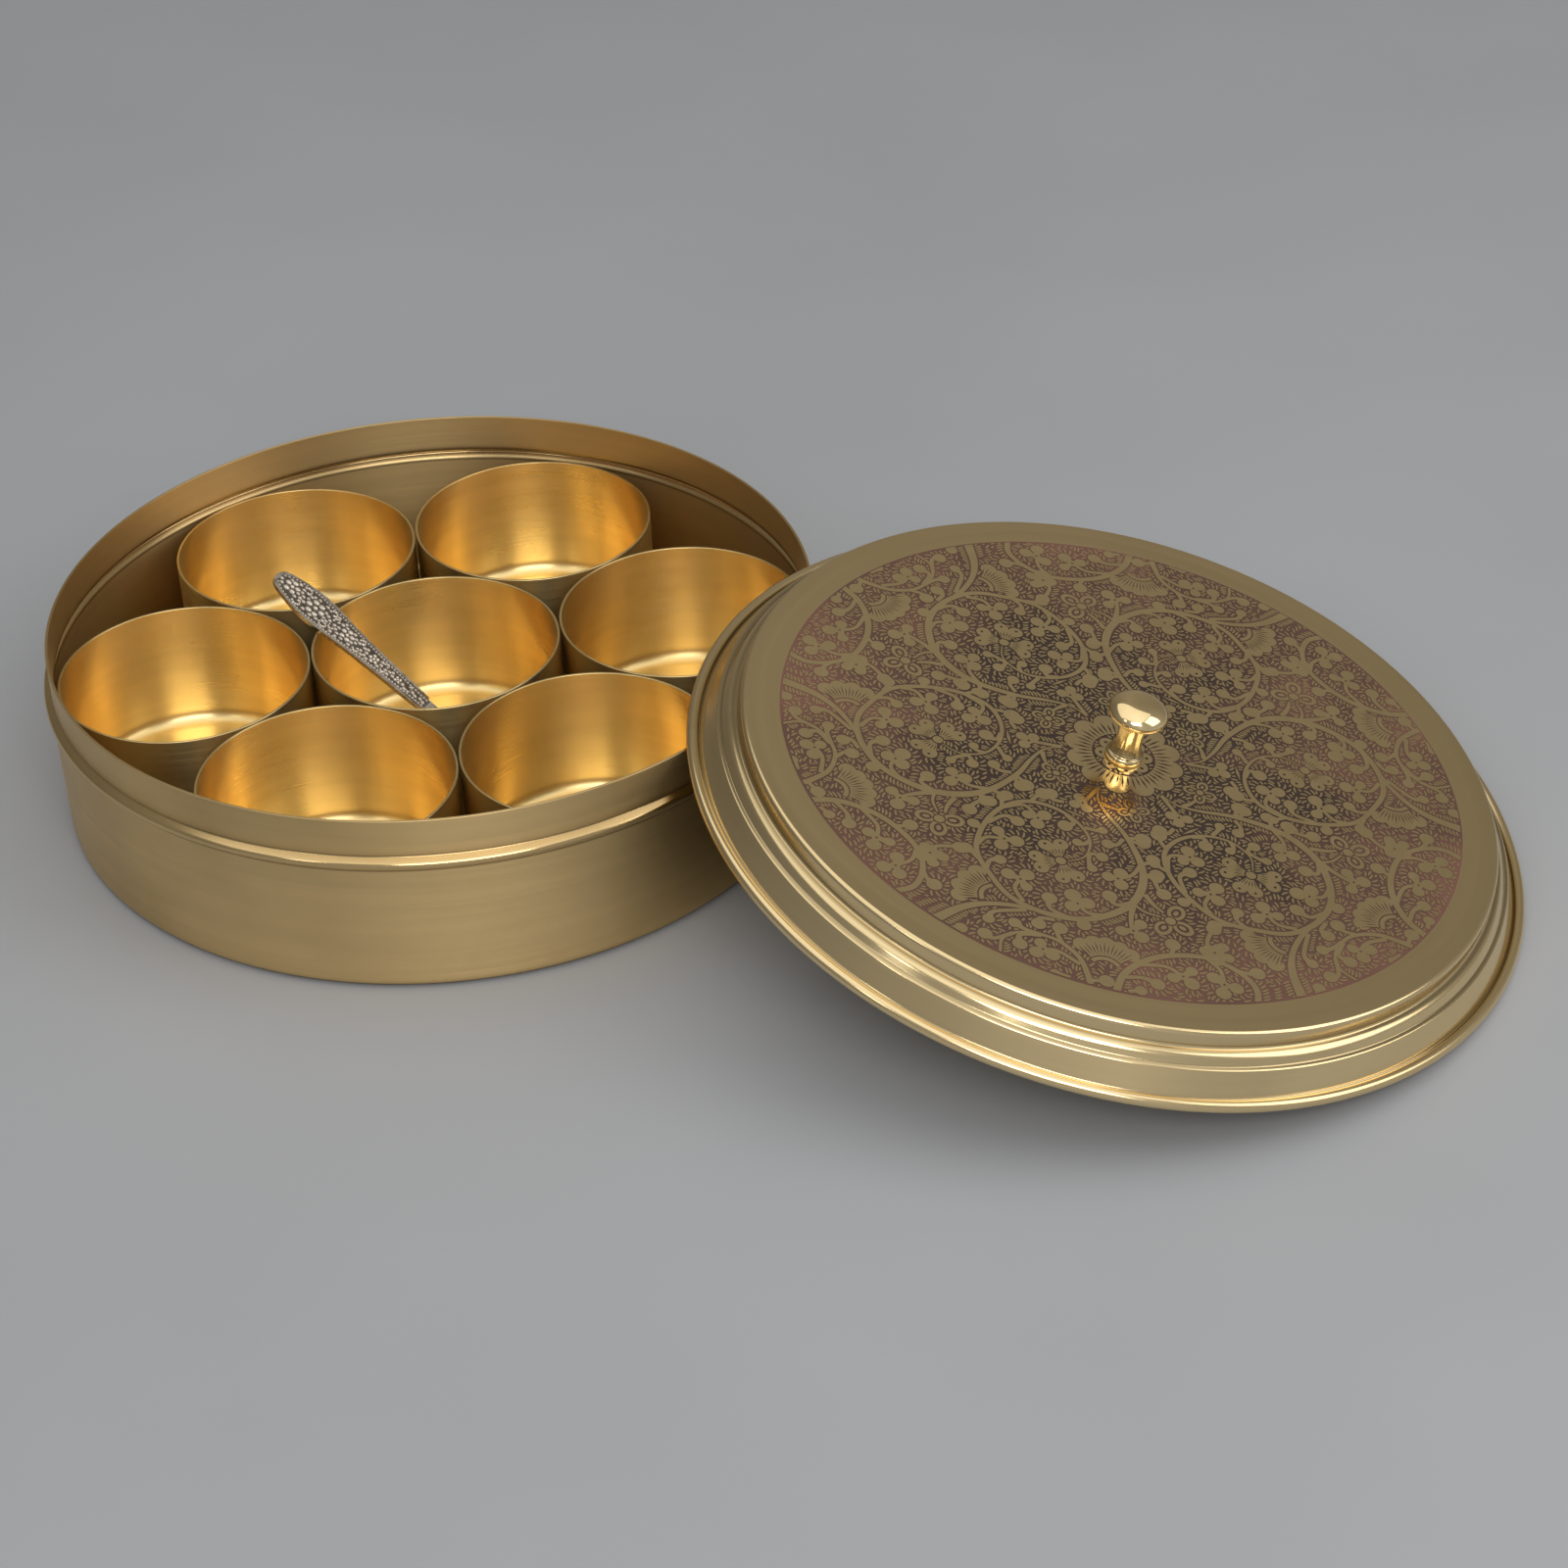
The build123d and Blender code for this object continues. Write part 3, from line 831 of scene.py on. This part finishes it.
def draw_big_flower(centre):
    """Three heart-shaped petals with dark dots and veins; the stem is the fourth."""
    for way in BIG_PETAL_WAYS:
        draw_band(centre, 1.7, 6.2, way - 33, way + 33)
        for lean in (-19, 19):
            draw_round(at(centre, way + lean, 6.3), 2.05)
    for way in BIG_PETAL_WAYS:
        for lean in (-18, 18):
            draw_round(at(centre, way + lean, 6.8), 0.42, CUT, 8)
        for lean in (-26, -13, 0, 13, 26):
            draw_ray(centre, way + lean, 2.0, 4.8, 0.14)
    draw_round(centre, 1.8, CUT)
    draw_round(centre, 1.4)


def draw_ring_flower(centre, petals, heart):
    """An outlined flower: each oval petal has a cut line round a small bare core."""
    for way, size in petals:
        draw_petal(centre, way, 0.7 * heart + 1.2 * size, 2.5 * size, 2 * size)
        draw_petal(centre, way, 0.7 * heart + 1.15 * size, 1.5 * size, 1.1 * size, CUT)
        draw_petal(centre, way, 0.7 * heart + 1.1 * size, 0.9 * size, 0.55 * size)
    draw_round(centre, heart + 0.4, CUT)
    draw_round(centre, heart)


def draw_sixth():
    """All the motifs of one sixth of the pattern, the one on the lid's left."""
    for points, half_widths in VINES:
        draw_vine(points, half_widths, growth=STEM_GROWTH)
    for lobes, stalk in SPRAYS:
        draw_vine(stalk, (0.6, 0.55, 0.65), 4)
        for x, y, size in lobes:
            draw_vine([stalk[0], (x, y)], (0.7, 1.25), 2)
            draw_round((x, y), LEAF_GROWTH * size)
        draw_round(stalk[0], 1.3)
    for (x, y, size), bend, root in BUDS:
        draw_vine([(x, y), bend, root], (1.1, 0.6, 0.6), 4)
        draw_round((x, y), LEAF_GROWTH * size)
    for centre, way, lobes, spacing in FANS:
        draw_fan(centre, way, lobes, spacing)
    draw_big_flower(BIG_FLOWER)
    draw_ring_flower(RING_FLOWER, RING_PETALS, 1.4)
    draw_ring_flower(SMALL_FLOWER, [(way, 1.6) for way in SMALL_PETAL_WAYS], 1.0)
    for lobes, stalk in SPRAYS:
        draw_round(stalk[0], 0.36, CUT, 8)


def turned_copies(shapes):
    """The same shapes turned round the lid's middle, once for each part of the pattern."""
    copies = []
    for k in range(PATTERN_TURNS):
        c, s = cos(tau * k / PATTERN_TURNS), sin(tau * k / PATTERN_TURNS)
        for corners, kind in shapes:
            copies.append(([(x * c - y * s, x * s + y * c) for x, y in corners], kind))
    return copies


def draw_rose():
    """The large rosette under the knob, with rays and an inner ring of lobes."""
    middle = (0, 0)
    draw_round(middle, ROSE_REACH + 0.4, BARE, 48)
    for k in range(ROSE_LOBES):
        draw_round(at(middle, 16 + 360 * k / ROSE_LOBES, ROSE_REACH), 3.5)
    for k in range(ROSE_RAYS):
        draw_ray(middle, 360 * k / ROSE_RAYS, 8.2, 12.4 + 1.1 * (k % 2), 0.3)
    draw_round(middle, 8.5, CUT, 36)
    draw_round(middle, 5.6, BARE, 30)
    for k in range(8):
        draw_round(at(middle, 45 * k, 5.6), 2.2)
    for k in range(8):
        draw_round(at(middle, 45 * k, 6.2), 0.5, CUT, 8)
    draw_round(middle, KNOB_SEAT, CUT, 30)


draw_sixth()
drawn[:] = turned_copies(drawn)
draw_rose()
# What sticks out past the pattern's edge is cut off, which leaves a thin dark line there.
draw_band((0, 0), PATTERN_RADIUS - PATTERN_LINE, PATTERN_RADIUS + EDGE_TRIM, 0, 360, CUT, 144)


def settle(shapes):
    """Splits overlapping shapes into triangles; the last drawn shape decides each one."""
    corners, faces = [], []
    for outline, _ in shapes:
        faces.append(list(range(len(corners), len(corners) + len(outline))))
        corners.extend(Vector(p) for p in outline)
    flat, _, triangles, _, _, owners = delaunay_2d_cdt(corners, [], faces, 1, 1e-5)
    bare = [tri for tri, own in zip(triangles, owners) if own and shapes[max(own)][1]]
    return flat, bare


def mesh_piece(name, points, faces, materials, is_wall=None):
    """A piece made of points in the pattern's millimetres, riding on the lid."""
    mesh = bpy.data.meshes.new(name)
    mesh.from_pydata([pattern_place @ Vector(p) for p in points], [], faces)
    for material in materials:
        mesh.materials.append(material)
    if len(materials) > 1:
        mesh.polygons.foreach_set("material_index", [int(is_wall(face)) for face in faces])
    mesh.validate()
    piece = in_scene(name, mesh)
    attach(piece, "lid")
    return piece


def outline_loops(bare):
    """The outlines of the bare brass, each a chain of corners with the brass on its left."""
    sides = {(a, b) for tri in bare for a, b in zip(tri, tri[1:] + tri[:1])}
    ways_on = {}
    for a, b in sorted(sides):
        if (b, a) not in sides:
            ways_on.setdefault(a, []).append(b)
    loops = []
    while ways_on:
        start = next(iter(ways_on))
        loop = [start]
        while loop[-1] in ways_on:
            onward = ways_on[loop[-1]]
            step = onward.pop()
            if not onward:
                del ways_on[loop[-1]]
            loop.append(step)
        loops.append(loop)
    return loops


def raised_motifs(flat, bare, loops, materials):
    """The bare brass: its top faces, and walls down to the ground."""
    count = len(flat)
    points = [(p.x, p.y, MOTIF_LIFT) for p in flat] + [(p.x, p.y, GROUND_LIFT) for p in flat]
    faces = list(bare)
    for loop in loops:
        faces += [(b, a, a + count, b + count) for a, b in zip(loop, loop[1:])]
    piece = mesh_piece("engraved_motifs", points, faces, materials, is_wall=lambda face: max(face) >= count)
    clean = bmesh.new()
    clean.from_mesh(piece.data)
    bmesh.ops.delete(clean, geom=[v for v in clean.verts if not v.link_faces], context="VERTS")
    clean.to_mesh(piece.data)
    clean.free()


def walk(flat, loop, pitch):
    """Places along an outline at an even pitch, each with its way out of the brass."""
    ahead = 0.5 * pitch
    for a, b in zip(loop, loop[1:]):
        side = flat[b] - flat[a]
        while side.length > ahead:
            way = side.normalized()
            yield flat[a] + way * ahead, Vector((way.y, -way.x))
            ahead += pitch
        ahead -= side.length


class OpenGround:
    """Knows how far a place is from the brass outlines and from the ridges cut so far."""

    def __init__(self, flat, loops):
        """Marks places all along the outlines, each with its way out of the brass."""
        self.marks = [mark for loop in loops for mark in walk(flat, loop, MARK_PITCH)]
        self.tree = KDTree(len(self.marks))
        for k, (spot, _) in enumerate(self.marks):
            self.tree.insert((spot.x, spot.y, 0), k)
        self.tree.balance()
        self.taken = {}

    def room(self, spot):
        """Distance from the nearest brass, below nought inside it, and the way out of it."""
        _, k, gap = self.tree.find((spot.x, spot.y, 0))
        mark, out = self.marks[k]
        away = spot - mark
        if away.dot(out) < 0 or spot.length > PATTERN_RADIUS - RIM_ROOM:
            return -gap, out
        return gap, away.normalized() if gap > TOUCHING else out

    def cell(self, spot):
        """The square of a coarse grid that a spot lies in."""
        return int(spot.x // RIDGE_CELL), int(spot.y // RIDGE_CELL)

    def near(self, spot):
        """The places on ridges near a spot, nearest first, each with its ridge's direction."""
        cell_x, cell_y = self.cell(spot)
        cells = [(x, y) for x in range(cell_x - 1, cell_x + 2) for y in range(cell_y - 1, cell_y + 2)]
        found = [(other - spot).length for cell in cells for other, _ in self.taken.get(cell, ())]
        ways = [way for cell in cells for _, way in self.taken.get(cell, ())]
        return sorted(zip(found, range(len(found)), ways))

    def is_free(self, spot, spacing):
        """Whether no ridge is nearer to a spot than a spacing."""
        close = self.near(spot)
        return not close or close[0][0] >= spacing

    def cut_ridge(self, start, way, lengths):
        """A short bent ridge, as long as there is room for, or nothing."""
        for length in lengths:
            middle = start + way * (0.5 * length)
            end = middle + Matrix.Rotation(RIDGE_BEND, 2) @ way * (0.5 * length)
            spots = (start, middle, end)
            clear = all(self.room(p)[0] > need for p, need in zip(spots, RIDGE_ROOM))
            if clear and all(self.is_free(p, need) for p, need in zip(spots, RIDGE_SPACING)):
                for p in (start, start.lerp(middle, 0.5), middle, middle.lerp(end, 0.5), end):
                    self.taken.setdefault(self.cell(p), []).append((p, way))
                return spots
        return None


def filled(ground, spot, lengths):
    """A ridge from a spot in open ground, laid as nearly as it can be along its neighbour."""
    if ground.room(spot)[0] <= RIDGE_ROOM[0] or not ground.is_free(spot, RIDGE_SPACING[0]):
        return None
    close = ground.near(spot)
    way = close[0][2] if close else ground.room(spot)[1]
    for slant in FILLING_SLANTS:
        ridge = ground.cut_ridge(spot, Matrix.Rotation(slant, 2) @ way, lengths)
        if ridge:
            return ridge
    return None


def hatching(flat, bare, loops):
    """Short ridges: first a comb of them along every outline, then what ground is left."""
    ground = OpenGround(flat, loops)
    ridges = []
    for loop in sorted(loops, key=len, reverse=True):
        for foot, out in walk(flat, loop, RIDGE_PITCH):
            way = Matrix.Rotation(RIDGE_SLANT, 2) @ out
            ridges.append(ground.cut_ridge(foot + out * DARK_LINE, way, RIDGE_LENGTHS))
    rows = int(PATTERN_RADIUS / FILLING_STEP)
    for lengths in FILLING_LENGTHS:
        for row in range(-rows, rows + 1):
            for column in range(-rows, rows + 1):
                spot = Vector((FILLING_STEP * (column + 0.5 * (row % 2)), FILLING_STEP * row))
                if spot.length < PATTERN_RADIUS:
                    ridges.append(filled(ground, spot, lengths))
    ridges = [ridge for ridge in ridges if ridge]
    brass = BVHTree.FromPolygons([(p.x, p.y, 0) for p in flat], bare)
    return [ridge for ridge in ridges if not brass.find_nearest((*ridge[1], 0), ON_BRASS)[0]]


def raised_ridges(ridges, materials):
    """Each ridge is a leaf of brass left between two strokes, with sloping sides."""
    points, faces = [], []
    for start, middle, end in ridges:
        first = len(points)
        along = (end - start).normalized()
        across = Vector((-along.y, along.x))
        near, far = start.lerp(middle, RIDGE_SHOULDER), end.lerp(middle, RIDGE_SHOULDER)
        foot_width = RIDGE_HALF_WIDTH + RIDGE_FOOT
        for half, lift in ((RIDGE_HALF_WIDTH, MOTIF_LIFT), (foot_width, GROUND_LIFT)):
            side, tip = across * half, across * (RIDGE_TIP * half)
            ring = [start, near - tip, middle - side, far - tip, end, far + tip, middle + side, near + tip]
            points += [(p.x, p.y, lift) for p in ring]
        faces.append(tuple(range(first, first + 8)))
        for k in range(8):
            after = (k + 1) % 8
            faces.append((first + after, first + k, first + k + 8, first + after + 8))
    mesh_piece("engraved_ridges", points, faces, materials, is_wall=lambda face: len(face) == 4)


def blackened_ground():
    """Blackened brass at the bottom of the cuts, redder where it has worn through."""
    material, shader = new_finish("engraved_ground", metallic=0.4)
    shader.inputs["Roughness"].default_value = 0.5
    place = turned_place(material, lid_middle, lid_up)
    clouds = streaks(material, place, GROUND_CLOUDS, 4, 2)
    radius = parts_of(material, place)["Y"]
    outward = spread(material, radius, WORN_FROM * MM, WORN_TO * MM, 0.0, 0.7)
    patchy = spread(material, clouds, 0.4, 0.7, -0.15, 0.6)
    worn = reckon(material, "ADD", outward, patchy, clamp=True)
    wire(material, blended(material, worn, GROUND_BLACK, GROUND_RED), shader.inputs["Base Color"])
    return material


flat, bare = settle(drawn)
loops = outline_loops(bare)
cut_brass = turned_brass(
    "engraved_brass", LID_BRASS, LID_TARNISH, lid_middle, lid_up, LID_GLOSS, LID_LINE_DEPTH,
    tarnished=LID_TARNISHED,
)
black = blackened_ground()
raised_motifs(flat, bare, loops, [cut_brass, black])
raised_ridges(hatching(flat, bare, loops), [cut_brass, black])
ground_ring, ground_faces = [], []
for radius in (PATTERN_RADIUS, KNOB_SEAT):
    for k in range(GROUND_STEPS):
        ground_ring.append((*at((0, 0), 360 / GROUND_STEPS * k, radius), GROUND_LIFT))
for k in range(GROUND_STEPS):
    after = (k + 1) % GROUND_STEPS
    ground_faces.append((k, after, GROUND_STEPS + after, GROUND_STEPS + k))
mesh_piece("engraved_ground", ground_ring, ground_faces, [black])


# Knob: turned from solid brass bar, with a flattened head, a waist and a small foot, and
# polished to a mirror. It stands in the middle of the engraving.
KNOB_BRASS = (0.93, 0.73, 0.40)
KNOB_TARNISH = (0.84, 0.62, 0.30)
KNOB_GLOSS = 0.07
KNOB_LINE_DEPTH = 0.06
KNOB_LINE = [
    (0, 18.3), (2.0, 18.24), (3.9, 18.0), (5.5, 17.45), (6.8, 16.6), (7.6, 15.6), (7.85, 14.6),
    (7.45, 13.6), (6.4, 12.85), (5.1, 12.4), (4.3, 12.0), (3.85, 11.3), (3.55, 9.6), (3.4, 7.1),
    (3.6, 4.4), (4.05, 2.6), (4.3, 2.05), (4.7, 1.85), (5.0, 1.35), (5.05, 0.8), (4.85, 0.2), (4.6, 0),
]
KNOB_FOOT_TOP = 2.0
KNOB_HEAD_FOOT = 12.1
KNOB_STEPS = 120

# Painted shade: dark bands just above the foot and under the head, where they meet the neck.
knob_brass = turned_brass(
    "knob_brass", KNOB_BRASS, KNOB_TARNISH, lid_middle, lid_up, KNOB_GLOSS, KNOB_LINE_DEPTH,
    shade_rings=[("Z", KNOB_FOOT_TOP, 0.4, 0.5), ("Z", KNOB_HEAD_FOOT, 0.5, 0.3)],
    tarnished=LID_TARNISHED,
)
knob_line = through(KNOB_LINE, steps=6)
knob_ends = zip(knob_line[:1] + knob_line, knob_line[1:] + knob_line[-1:])
knob_ways = [(b - a).normalized() for a, b in knob_ends]
knob_section = [(spot, Vector((-way.y, way.x))) for spot, way in zip(knob_line, knob_ways)]
knob_section += [(Vector(spot), Vector((0, -1))) for spot in (KNOB_LINE[-1], (0, 0))]
spun("knob_turned", [knob_section], lid_middle, lid_up, KNOB_STEPS, "lid", "knob", knob_brass)


# Washer and screw: a flat stamped brass ring and a slotted steel screw, which hold the knob
# from inside the lid.
WASHER_GLOSS = 0.3
WASHER_LINE_DEPTH = 0.5
SCREW_STEEL = (0.55, 0.54, 0.52)
SCREW_GLOSS = 0.28

washer_brass = turned_brass(
    "washer_brass", LID_BRASS, LID_TARNISH, lid_middle, lid_up, WASHER_GLOSS, WASHER_LINE_DEPTH
)
dress("knob_washer", washer_brass)
dress("knob_screw", drawn_steel("screw_steel", SCREW_STEEL, SCREW_GLOSS, lid_middle, lid_up))


# Floor, light and camera: a plain pale floor, a soft sky and large soft lamps. The camera
# stands where the photograph was taken from, and looks down on the box from the front.
FLOOR_TONE = (0.362, 0.373, 0.392)
FLOOR_CLOUDS = (5, 5, 5)
FLOOR_SIZE = 6.0
FRONT_SKY = (0.50, 0.50, 0.50)
BACK_SKY = (0.275, 0.258, 0.23)
LAMP_WHITE = (1.0, 0.98, 0.95)
# The sky's strength from the left, at nought, to the right, at one: it is dim at the left.
SKY_TONES = ((0.05, 0.45), (0.6, 1.0), (0.75, 0.8))
CAMERA_PLACE = Vector((95.55, -782.85, 531.31)) * MM
CAMERA_DROP = radians(34.86)
CAMERA_LEAN = radians(-2.214)
CAMERA_LENS = 76.03


def floor_paper():
    """Plain pale card with a faint unevenness."""
    material, shader = new_finish("floor_paper", metallic=0.0)
    place = add_node(material, "ShaderNodeTexCoord")
    clouds = streaks(material, place.outputs["Object"], FLOOR_CLOUDS, 4, 3)
    darker, paler = ([share * part for part in FLOOR_TONE] for share in (0.96, 1.04))
    tone = blended(material, spread(material, clouds, *NOISE_MIDDLE, 0, 1), darker, paler)
    wire(material, tone, shader.inputs["Base Color"])
    shader.inputs["Roughness"].default_value = 0.75
    return material


bpy.ops.mesh.primitive_plane_add(size=FLOOR_SIZE)
floor = bpy.context.object
floor.name = "floor"
floor.data.materials.append(floor_paper())
floor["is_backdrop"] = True


def soft_lamp(name, place, aim, size, brightness, tint):
    """A soft box at one point that faces another, as bright as its own face looks."""
    data = bpy.data.lights.new(name, "AREA")
    data.shape = "RECTANGLE"
    data.size, data.size_y = size
    data.energy = brightness * pi * size[0] * size[1]
    data.color = tint
    lamp = in_scene(name, data)
    lamp.location = place
    lamp.rotation_euler = (Vector(aim) - Vector(place)).to_track_quat("-Z", "Y").to_euler()


table_middle = (0.08, -0.02, 0.03)
soft_lamp("lamp_top", (0.05, -0.1, 1.6), table_middle, (2.4, 2.2), 0.74, (1.0, 0.99, 0.97))
soft_lamp("lamp_front", (0.2, -1.3, 1.0), table_middle, (0.9, 0.55), 5.0, LAMP_WHITE)
soft_lamp("lamp_left", (-0.75, -0.95, 1.0), table_middle, (0.2, 0.3), 3.5, LAMP_WHITE)
soft_lamp("lamp_right", (1.25, -0.35, 0.8), table_middle, (0.9, 0.9), 1.8, LAMP_WHITE)

world = bpy.data.worlds.new("soft_sky")
world.use_nodes = True
backdrop = world.node_tree.nodes["Background"]
sky_place = add_node(world, "ShaderNodeTexCoord")
sky_parts = parts_of(world, sky_place.outputs["Generated"])
sky_tone = blended(world, spread(world, sky_parts["Y"], -0.2, 0.7, 0, 1), FRONT_SKY, BACK_SKY)
side_tone = add_node(world, "ShaderNodeValToRGB")
wire(world, spread(world, sky_parts["X"], -1, 1, 0, 1), side_tone.inputs[0])
side_tone.color_ramp.elements.new(SKY_TONES[1][0])
for stop, (reach, tone) in zip(side_tone.color_ramp.elements, SKY_TONES):
    stop.position = reach
    stop.color = (tone, tone, tone, 1)
wire(world, side_tone.outputs["Color"], backdrop.inputs["Strength"])
wire(world, sky_tone, backdrop.inputs["Color"])
bpy.context.scene.world = world

camera_data = bpy.data.cameras.new("camera")
camera_data.lens = CAMERA_LENS
camera_data.sensor_width = 36
camera_data.clip_start = 0.01
camera = in_scene("camera", camera_data)
down = Matrix.Rotation(pi / 2 - CAMERA_DROP, 4, "X")
camera.matrix_world = Matrix.Translation(CAMERA_PLACE) @ down @ Matrix.Rotation(CAMERA_LEAN, 4, "Z")
bpy.context.scene.camera = camera
bpy.context.scene.view_settings.view_transform = "Standard"

seen_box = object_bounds()
[[list(corner) for corner in box] for box in (solid_box, seen_box)]
